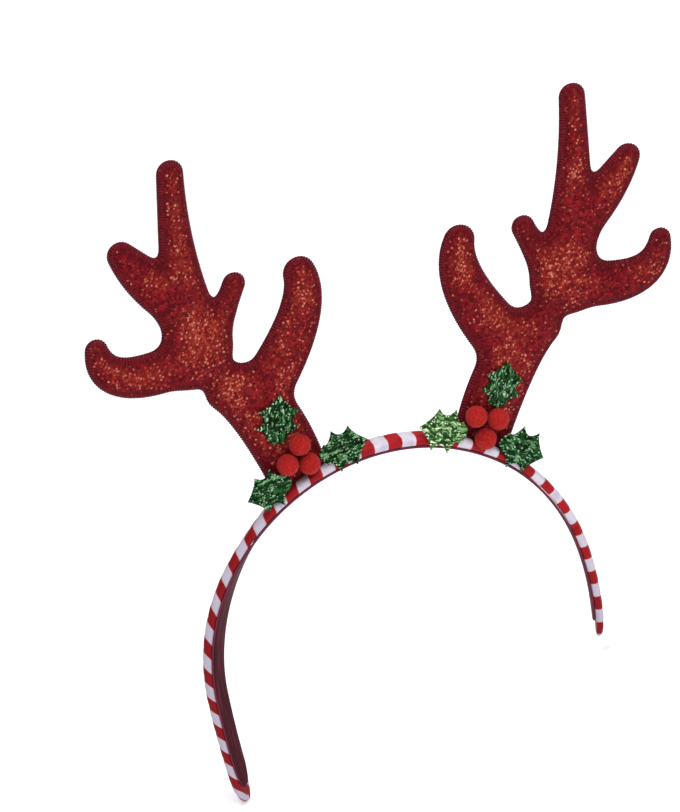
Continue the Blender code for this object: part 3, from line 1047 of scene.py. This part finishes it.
@dataclass(frozen=True)
class Stuffing:
    """Swells a sewn pad by cloth simulation under pressure, with its stitched edge held."""

    most: float = 0.40 * MM
    # Cloth behaves well at metre size, so the pad is simulated twenty times as large
    grown: float = 20.0
    frames: int = 20
    pressure: float = 4.0

    def fill(self, piece: Piece, held: Array) -> None:
        """Args:
            piece: The pad, sewn slightly thin.
            held: How firmly each vertex is held, from 0 to 1.
        """
        rest = vertex_places(piece)
        piece.data.transform(Matrix.Scale(self.grown, 4))
        group = piece.vertex_groups.new(name="stitched")
        for index, weight in enumerate(held):
            group.add([index], float(weight), "REPLACE")
        cloth = piece.modifiers.new("stuffing", "CLOTH")
        settings = {
            "quality": 6,
            "mass": 0.3,
            "tension_stiffness": 12.0,
            "compression_stiffness": 12.0,
            "shear_stiffness": 4.0,
            "bending_stiffness": 0.2,
            "use_pressure": True,
            "uniform_pressure_force": self.pressure,
            "shrink_min": -0.03,
            "vertex_group_mass": "stitched",
        }
        for key, value in settings.items():
            setattr(cloth.settings, key, value)
        cloth.settings.effector_weights.gravity = 0.0
        cloth.collision_settings.use_collision = False
        cloth.point_cache.frame_start, cloth.point_cache.frame_end = 1, self.frames
        for frame in range(1, self.frames + 1):
            bpy.context.scene.frame_set(frame)
        select_only(piece)
        bpy.ops.object.modifier_apply(modifier="stuffing")
        bpy.context.scene.frame_set(1)
        piece.vertex_groups.clear()
        move = vertex_places(piece) / self.grown - rest
        length = np.linalg.norm(move, axis=1, keepdims=True)
        furthest, mean = length.max() / MM, length.mean() / MM
        log.info("%s moved up to %.2f mm, mean %.2f mm", piece.name, furthest, mean)
        move *= self.most * np.tanh(length / self.most) / np.maximum(length, TINY)
        piece.data.vertices.foreach_set("co", (rest + move).ravel())
        piece.data.update()


# One loop of thread from the front round to the back: how deep it lies, and on which face
STITCH_LOOP = (
    (1.0, -1.0),
    (0.55, -1.0),
    (0.16, -0.9),
    (-0.26, 0.0),
    (0.16, 0.9),
    (0.55, 1.0),
    (1.0, 1.0),
)


@dataclass
class Antler:
    """One padded antler with its overlocked edge."""

    side: Side
    shape: AntlerShape
    pair: PairFrame
    outline_step: float = 0.9 * MM
    fill_step: float = 1.5 * MM
    ring_depths: tuple = (0.45 * MM, 1.0 * MM, 1.9 * MM, 2.9 * MM, 4.1 * MM)
    lump: float = 0.20 * MM
    lump_size: float = 9.0 * MM
    pucker: float = 0.10 * MM
    pucker_size: float = 1.6 * MM
    stitch_pitch: float = 1.05 * MM
    thread_radius: float = 0.18 * MM
    thread_flatness: float = 2.0
    thread_corners: int = 4

    def points(self) -> tuple[Array, Array]:
        """The outline and the inner points of the flat antler, on the viewer's right."""
        x, z, field = self.shape.field(1.0 * MM)
        outline = even_points(max(level_loops(x, z, field, 0.0), key=len), self.outline_step)
        inner = [
            even_points(loop, self.outline_step * (1.0 + depth / (4.0 * MM)))
            for depth in self.ring_depths
            for loop in level_loops(x, z, field, -depth)
            if len(loop) > 6
        ]
        spaced = (np.arange(places[0], places[-1], self.fill_step) for places in (x, z))
        grid = grid_points(*spaced)
        grid[::2] += (0.2 * MM, 0.35 * MM)
        deep = self.shape.distance(grid) < -(self.ring_depths[-1] + 0.6 * MM)
        return outline, np.vstack([*inner, grid[deep]])

    def placed(self, points: Array) -> Array:
        """Moves points of the right antler, in the pair's frame, to this antler's place."""
        return moved_by(points * (self.side.value, 1.0, 1.0), self.pair.matrix(leaning=True))

    def build_pad(self, finish: Material, outline: Array, inner: Array) -> None:
        """Makes the stuffed body in place of its CAD solid.

        Args:
            finish: The glitter fabric.
            outline: The flat antler's outline.
            inner: Its inner points.
        """
        flat, faces = plate(outline, inner)
        half = self.shape.half_thickness(flat)
        depth = -self.shape.distance(flat)
        here = stood_up(flat, 0.0)
        seed = 3.0 if self.side is Side.RIGHT else 11.0
        # The stuffing lies unevenly, and the stitches gather the cloth near the edge
        lumps = self.lump * ripple(here, self.lump_size, seed)
        lumps *= smoothstep(1.0 * MM, 6.0 * MM, depth)
        puckers = self.pucker * ripple(here, self.pucker_size, seed)
        puckers *= smoothstep(6.0 * MM, 2.0 * MM, depth)
        front, back = -(half + lumps + puckers), half + lumps - puckers
        points = self.placed(np.vstack([stood_up(flat, front), stood_up(flat, back)]))
        piece = object_from(f"antler_pad_{self.side.word}", points, faces)
        # How full the padding is, for the fabric's painted edge shade and painted glints, and how
        # far it faces up, for its painted top light
        set_attribute(piece, "loft", np.tile(smoothstep(0.5 * MM, 6.5 * MM, depth), 2))
        uphill = -self.shape.inward(flat)[:, 1]
        set_attribute(piece, "faces_up_share", np.tile(0.35 + 0.65 * smoothstep(-0.6, 0.9, uphill), 2))
        Stuffing().fill(piece, np.tile(1.0 - smoothstep(1.6 * MM, 3.2 * MM, depth), 2))
        settle(piece, finish, "glitter", f"antler_{self.side.word}")

    def thread_path(self, knots: Array, inward: Array) -> Array:
        """The middle line of each thread loop.

        Args:
            knots: Where the loops stand on the outline.
            inward: Each knot's direction into the antler.

        Returns:
            One row of points for each loop.
        """
        reach = self.shape.seam_inset + 0.15 * MM
        path = []
        for deep, face in STITCH_LOOP:
            spot = knots + inward * (deep * reach)
            # The ends dip into the cloth, and the rest of the loop lies just on it
            lift = -0.12 * MM if deep > 0.9 else 0.03 * MM
            path.append(stood_up(spot, face * (self.shape.half_thickness(spot) + lift)))
        return np.stack(path, axis=1)

    def build_overlock(self, finish: Material, outline: Array) -> None:
        """Sews thread loops round the whole edge.

        Args:
            finish: The thread.
            outline: The flat antler's outline.
        """
        knots = even_points(outline, self.stitch_pitch)
        inward = self.shape.inward(knots)
        path = self.thread_path(knots, inward)
        tangent = np.gradient(path, axis=1)
        tangent /= np.linalg.norm(tangent, axis=2, keepdims=True)
        along = np.stack([-inward[:, 1], np.zeros(len(knots)), inward[:, 0]], axis=1)[:, None, :]
        along = along - tangent * (tangent * along).sum(axis=2, keepdims=True)
        along /= np.linalg.norm(along, axis=2, keepdims=True)
        normal = np.cross(tangent, along)
        corners, ring = self.thread_corners, []
        for k in range(corners):
            turn = math.tau * (k + 0.5) / corners
            offset = along * math.cos(turn) * self.thread_flatness + normal * math.sin(turn)
            ring.append(path + offset * self.thread_radius)
        points = np.stack(ring, axis=2)
        rings, faces = points.shape[1], []
        for first in range(0, len(points) * rings * corners, rings * corners):
            for row in range(first, first + (rings - 1) * corners, corners):
                for k in range(corners):
                    a, b = row + k, row + (k + 1) % corners
                    faces.append((a, b, b + corners, a + corners))
            last = first + (rings - 1) * corners
            faces.append(tuple(range(first, first + corners))[::-1])
            faces.append(tuple(range(last, last + corners)))
        placed = self.placed(points.reshape(-1, 3))
        settle(object_from(f"overlock_{self.side.word}", placed, faces), finish, "glitter")

    def build(self, fabric: Material, thread: Material) -> None:
        """Makes the antler and its stitching.

        Args:
            fabric: The glitter fabric.
            thread: The overlock thread.
        """
        outline, inner = self.points()
        self.build_pad(fabric, outline, inner)
        self.build_overlock(thread, outline)


class HollyPlace(NamedTuple):
    """Where a leaf or a berry's centre lies in the pair's frame, and how a leaf points."""

    side: Side
    name: str
    across: float
    up: float
    tip_deg: float = 0.0
    size: float = 1.0
    on_antler: bool = True

    @property
    def label(self) -> str:
        """The side and name, as the pieces and CAD nodes end with them."""
        return f"{self.side.word}_{self.name}"

    def spot(self, pair: PairFrame, ahead: float) -> Vector:
        """The place in the headband's frame, so far ahead of the pair's middle."""
        here = Vector((self.side.value * self.across, -ahead, self.up))
        return pair.matrix(leaning=self.on_antler) @ here


LEAVES = (
    HollyPlace(Side.LEFT, "antler", 43.0 * MM, 93.4 * MM, -8.0, 1.0, True),
    HollyPlace(Side.LEFT, "inner", 19.2 * MM, 77.5 * MM, -80.0, 1.0, False),
    HollyPlace(Side.LEFT, "outer", 48.7 * MM, 67.2 * MM, 108.0, 0.94, False),
    HollyPlace(Side.RIGHT, "antler", 43.0 * MM, 89.3 * MM, 20.0, 0.94, True),
    HollyPlace(Side.RIGHT, "inner", 19.0 * MM, 76.5 * MM, -72.0, 1.0, False),
    HollyPlace(Side.RIGHT, "outer", 48.5 * MM, 63.2 * MM, 122.0, 1.0, False),
)

BERRIES = (
    HollyPlace(Side.LEFT, "top", 36.6 * MM, 83.6 * MM),
    HollyPlace(Side.LEFT, "outer", 41.5 * MM, 76.8 * MM),
    HollyPlace(Side.LEFT, "inner", 33.3 * MM, 75.6 * MM),
    HollyPlace(Side.RIGHT, "top", 31.2 * MM, 80.5 * MM),
    HollyPlace(Side.RIGHT, "outer", 39.6 * MM, 77.8 * MM),
    HollyPlace(Side.RIGHT, "inner", 34.3 * MM, 71.2 * MM),
)

# Spikes and hollows of a leaf's side: shares of its length and of its half width
LEAF_EDGES = ((0.12, 0.47, 0.22, 0.50), (0.33, 0.97, 0.50, 0.66), (0.68, 0.92, 0.79, 0.47))


def segment_gaps(points: Array, start: Array, end: Array) -> Array:
    """Distance of each flat point from one straight segment.

    Args:
        points: Flat places, two numbers each.
        start: The segment's start.
        end: The segment's end.

    Returns:
        One distance a point.
    """
    run = end - start
    share = np.clip(((points - start) @ run) / max(run @ run, TINY_SQUARE), 0.0, 1.0)
    return np.linalg.norm(points - start - share[:, None] * run, axis=1)


def edge_distance(points: Array, edge: Array) -> Array:
    """Distance of each point from a closed outline."""
    sides = zip(edge, np.roll(edge, -1, axis=0))
    return np.min([segment_gaps(points, a, b) for a, b in sides], axis=0)


def inside_polygon(points: Array, edge: Array) -> Array:
    """Whether each point lies inside a closed outline.

    Args:
        points: Flat places, two numbers each.
        edge: The outline's points in order.

    Returns:
        One truth value a point.
    """
    inside = np.zeros(len(points), bool)
    for (x1, z1), (x2, z2) in zip(edge, np.roll(edge, -1, axis=0)):
        if z1 == z2:
            continue
        crosses = (points[:, 1] > min(z1, z2)) & (points[:, 1] <= max(z1, z2))
        at = x1 + (points[:, 1] - z1) * (x2 - x1) / (z2 - z1)
        inside ^= crosses & (points[:, 0] < at)
    return inside


@dataclass
class HollyLeaf:
    """One spiky foil leaf, folded a little along its midrib."""

    where: HollyPlace
    pair: PairFrame
    full_length: float = 18.8 * MM
    full_width: float = 17.0 * MM
    thickness: float = 1.1 * MM
    fold: float = 0.7 * MM
    crush: float = 0.24 * MM
    step: float = 0.45 * MM
    foot_share: float = 0.16
    edge_run: float = 1.2 * MM
    vein_depth: float = 0.28 * MM
    vein_width: float = 0.32 * MM

    @property
    def length(self) -> float:
        """This leaf's own length."""
        return self.full_length * self.where.size

    @property
    def half(self) -> float:
        """Half of this leaf's own width."""
        return self.full_width * self.where.size / 2

    @property
    def pattern(self) -> float:
        """A number from 0 to 1 that differs from leaf to leaf."""
        return (self.where.across * 7919.0 + self.where.up * 104729.0) % 1.0

    def outline(self) -> Array:
        """The whole outline in metres, centred on the leaf, from the base's right corner."""
        points = [(0.0, self.foot_share)]
        for row, following in zip(LEAF_EDGES, (*LEAF_EDGES[1:], (1.0, 0.0, 0.0, 0.0))):
            spike, hollow, after = (np.array(p) for p in (row[:2], row[2:], following[:2]))
            points += [through_three(i / ARC_STEPS, spike, hollow, after) for i in range(ARC_STEPS)]
        side = np.array(points)
        right = np.stack([side[:, 1] * self.half, (side[:, 0] - 0.5) * self.length], axis=1)
        left = right[::-1] * (-1.0, 1.0)
        return np.vstack([right, [[0.0, self.length / 2]], left])

    def corners(self, edge: Array) -> Array:
        """The outline's spikes, base corners and tip, in order."""
        last = len(edge) - 1
        spikes = [1 + ARC_STEPS * k for k in range(len(LEAF_EDGES))]
        return edge[sorted({0, last // 2, last, *spikes, *(last - row for row in spikes)})]

    def veins(self, flat: Array) -> Array:
        """How near each point is to the midrib or a side vein.

        Args:
            flat: Flat places, two numbers each.

        Returns:
            One number a point, from 0 to 1.
        """
        ribs = [((0.0, -0.5 * self.length), (0.0, 0.46 * self.length))]
        for along, out, *_ in LEAF_EDGES:
            root = (0.0, (max(0.02, along - 0.16) - 0.5) * self.length)
            tip_out, tip_up = out * self.half * 0.85, (along - 0.5) * self.length
            ribs += [(root, (s * tip_out, tip_up)) for s in (-1.0, 1.0)]
        gaps = [segment_gaps(flat, np.array(start), np.array(end)) for start, end in ribs]
        return np.exp(-((np.min(gaps, axis=0) / self.vein_width) ** 2))

    def mesh_points(self) -> tuple[Array, list, Array]:
        """Triangulates the flat leaf.

        Returns:
            The flat places, the faces of both sides, and the outline.
        """
        edge = self.outline()
        outline = even_points(edge, self.step)
        # Every spike keeps its sharp point
        for corner in self.corners(edge):
            outline[np.argmin(np.hypot(*(outline - corner).T))] = corner
        reach = max(self.full_length, self.full_width) * self.where.size / 2
        spaced = np.arange(-reach, reach, self.step)
        grid = grid_points(spaced, spaced)
        kept = inside_polygon(grid, edge) & (edge_distance(grid, edge) > self.step * 0.6)
        return *plate(outline, grid[kept]), edge

    def build(self, finish: Material) -> None:
        """Makes the leaf in place of its CAD solid.

        Args:
            finish: The foil.
        """
        flat, faces, edge = self.mesh_points()
        fold = -self.fold * np.abs(flat[:, 0]) / self.half
        here = stood_up(flat, 5.0 * MM * self.pattern)
        # Fine creases run along the leaf, and broader dents lie under them
        creases = ripple(here * (1.0, 1.0, 0.5), 1.3 * MM, 1.0)
        crush = self.crush * (0.7 * creases + 0.5 * ripple(here, 3.2 * MM, 5.0))
        near = np.clip(edge_distance(flat, edge) / self.edge_run, 0.0, 1.0)
        vein = self.vein_depth * self.veins(flat)
        body = self.thickness * (0.35 + 0.65 * np.sqrt(near)) / 2
        middle = fold - self.thickness / 2
        front = stood_up(flat, middle - body + crush * near + vein * near)
        back = stood_up(flat, np.minimum(middle + body + 0.4 * crush * near, fold))
        points = moved_by(np.vstack([front, back]), self.matrix())
        piece = object_from(f"foil_leaf_{self.where.label}", points, faces)
        set_uv(piece, "leaf", np.vstack([flat, flat]) / MM + 40.0 * self.pattern)
        settle(piece, finish, "holly", f"holly_leaf_{self.where.label}")

    def matrix(self) -> Matrix:
        """From the leaf's own frame to the headband's."""
        where = self.where
        carrier = ANTLER_THICKNESS if where.on_antler else BAND_WIDTH
        lean = math.radians(self.pair.lean_deg) if where.on_antler else 0.0
        tip = where.side.value * math.radians(where.tip_deg)
        own = Euler((lean, tip, 0.0), "XYZ").to_matrix()
        turn = self.pair.matrix(leaning=False).to_3x3() @ own
        spot = where.spot(self.pair, carrier / 2 + SEAT_GAP)
        return Matrix.Translation(spot) @ turn.to_4x4()


@dataclass
class HollyBerry:
    """One felt ball, slightly lumpy."""

    where: HollyPlace
    pair: PairFrame
    diameter: float = 8.05 * MM
    lump: float = 0.13 * MM
    fuzz: float = 0.05 * MM

    def build(self, finish: Material) -> None:
        """Makes the berry in place of its CAD solid.

        Args:
            finish: The felt.
        """
        where, radius = self.where, self.diameter / 2
        select_only()
        bpy.ops.mesh.primitive_ico_sphere_add(subdivisions=5, radius=1.0)
        piece = bpy.context.object
        piece.name = piece.data.name = f"felt_berry_{where.label}"
        unit = vertex_places(piece)
        seed = 50.0 * where.up / MM
        lumps = self.lump * (ripple(unit, 0.55, seed) - 0.4)
        lumps += self.fuzz * ripple(unit, 0.12, seed)
        centre = where.spot(self.pair, ANTLER_THICKNESS / 2 + SEAT_GAP + radius)
        points = unit * (radius + lumps)[:, None] + np.array(centre)
        piece.data.vertices.foreach_set("co", points.ravel())
        settle(piece, finish, "felt", f"berry_{where.label}")


@dataclass(frozen=True)
class Studio:
    """Camera, soft lights and pale floor."""

    roll_deg: float = 16.69
    pitch_deg: float = 22.64
    yaw_deg: float = 14.78
    shift_x: float = 23.9 * MM
    shift_y: float = -83.3 * MM
    focal_px: float = 8000.0
    frame_px: float = 812.0
    px_per_mm: float = 2.759
    origin_up: float = 72.1 * MM
    sensor_mm: float = 36.0
    world_strength: float = 0.34
    floor_glow: float = 0.2

    def view(self) -> Matrix:
        """The camera's axes as rows: right, up and back."""
        turn = Matrix.Identity(3)
        for angle, axis in ((self.roll_deg, "Z"), (self.pitch_deg, "X"), (self.yaw_deg, "Y")):
            turn = turn @ Matrix.Rotation(math.radians(angle), 3, axis)
        return turn @ Matrix(((1, 0, 0), (0, 0, 1), (0, -1, 0)))

    def build_camera(self) -> None:
        """Places the camera at the photograph's viewing angle."""
        columns = self.view().transposed()
        distance = self.focal_px / self.px_per_mm * MM
        eye = columns @ Vector((-self.shift_x, -self.shift_y, distance))
        lens = bpy.data.cameras.new("camera")
        lens.sensor_fit = "VERTICAL"
        lens.sensor_height = self.sensor_mm
        lens.lens = self.sensor_mm * self.focal_px / self.frame_px
        lens.clip_end = 20.0
        camera = bpy.data.objects.new("camera", lens)
        bpy.context.scene.collection.objects.link(camera)
        eye.z -= self.origin_up
        camera.matrix_world = Matrix.Translation(eye) @ columns.to_4x4()
        bpy.context.scene.camera = camera

    def build_lights(self) -> None:
        """Adds a large key from above the camera, a fill and a soft top light."""
        aim = Vector((0.0, 0.0, 0.02))
        rows = (
            ("key", (0.35, -1.45, 1.35), 0.9, 20.0),
            ("fill", (-1.3, -1.1, 0.45), 1.2, 2.5),
            ("top", (0.1, 0.1, 1.7), 1.0, 20.0),
        )
        for name, spot, size, power in rows:
            lamp = bpy.data.lights.new(name, "AREA")
            lamp.shape = "SQUARE"
            lamp.size, lamp.energy = size, power
            light = bpy.data.objects.new(name, lamp)
            light.location = spot
            light.rotation_euler = (aim - Vector(spot)).to_track_quat("-Z", "Y").to_euler()
            bpy.context.scene.collection.objects.link(light)
        world = bpy.data.worlds.new("studio")
        world.use_nodes = True
        background = world.node_tree.nodes["Background"]
        background.inputs[0].default_value = linear("#f4f4f6")
        background.inputs[1].default_value = self.world_strength
        bpy.context.scene.world = world
        # The dyed cloths' own colours, without a film curve
        bpy.context.scene.view_settings.view_transform = "Standard"

    def build_floor(self, height: float) -> None:
        """Lays the plain floor under the band's tips.

        Args:
            height: The floor's height, in metres.
        """
        select_only()
        bpy.ops.mesh.primitive_plane_add(size=12.0, location=(0.0, 0.0, 0.0))
        floor = bpy.context.object
        floor.name = "floor"
        floor.data.transform(Matrix.Translation((0.0, 0.0, height)))
        # A light box floor glows a little, so that the ground stays white
        paper = NodeGraph(
            "matte_paper",
            Roughness=0.9,
            Base_Color=linear("#fbfbfc"),
            Emission_Color=linear("#ffffff"),
            Emission_Strength=self.floor_glow,
        )
        floor.data.materials.append(paper.material)
        floor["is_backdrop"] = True


def main() -> None:
    """Builds the headband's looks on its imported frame."""
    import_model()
    cad_box = [list(corner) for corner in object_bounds()]
    select_only()
    route, pair = BandRoute(), PairFrame()
    StripedBand(route).build(StripedRibbon().build())
    SatinLining(route).build(WineSatin().build())
    fabric, thread = GlitterFabric().build(), OverlockThread().build()
    for side in Side:
        Antler(side, AntlerShape(), pair).build(fabric, thread)
    foil, felt = GreenTinsel().build(), BerryFelt().build()
    # Painted light: the leaf on the right that faces the light gets a lighter copy of the foil,
    # with more painted glints
    lit_foil_copy = GreenTinsel(
        "lit_green_foil", "#153814", "#2d6228", "#7aa866", "#cfe6b4", "#f6fbe0"
    ).build()
    for leaf in LEAVES:
        facing_light = leaf.side is Side.RIGHT and leaf.name == "inner"
        HollyLeaf(leaf, pair).build(lit_foil_copy if facing_light else foil)
    for berry in BERRIES:
        HollyBerry(berry, pair).build(felt)
    studio = Studio()
    studio.build_camera()
    studio.build_lights()
    studio.build_floor(cad_box[0][2])


if __name__ == "__main__":
    logging.basicConfig(level=logging.INFO)
    main()
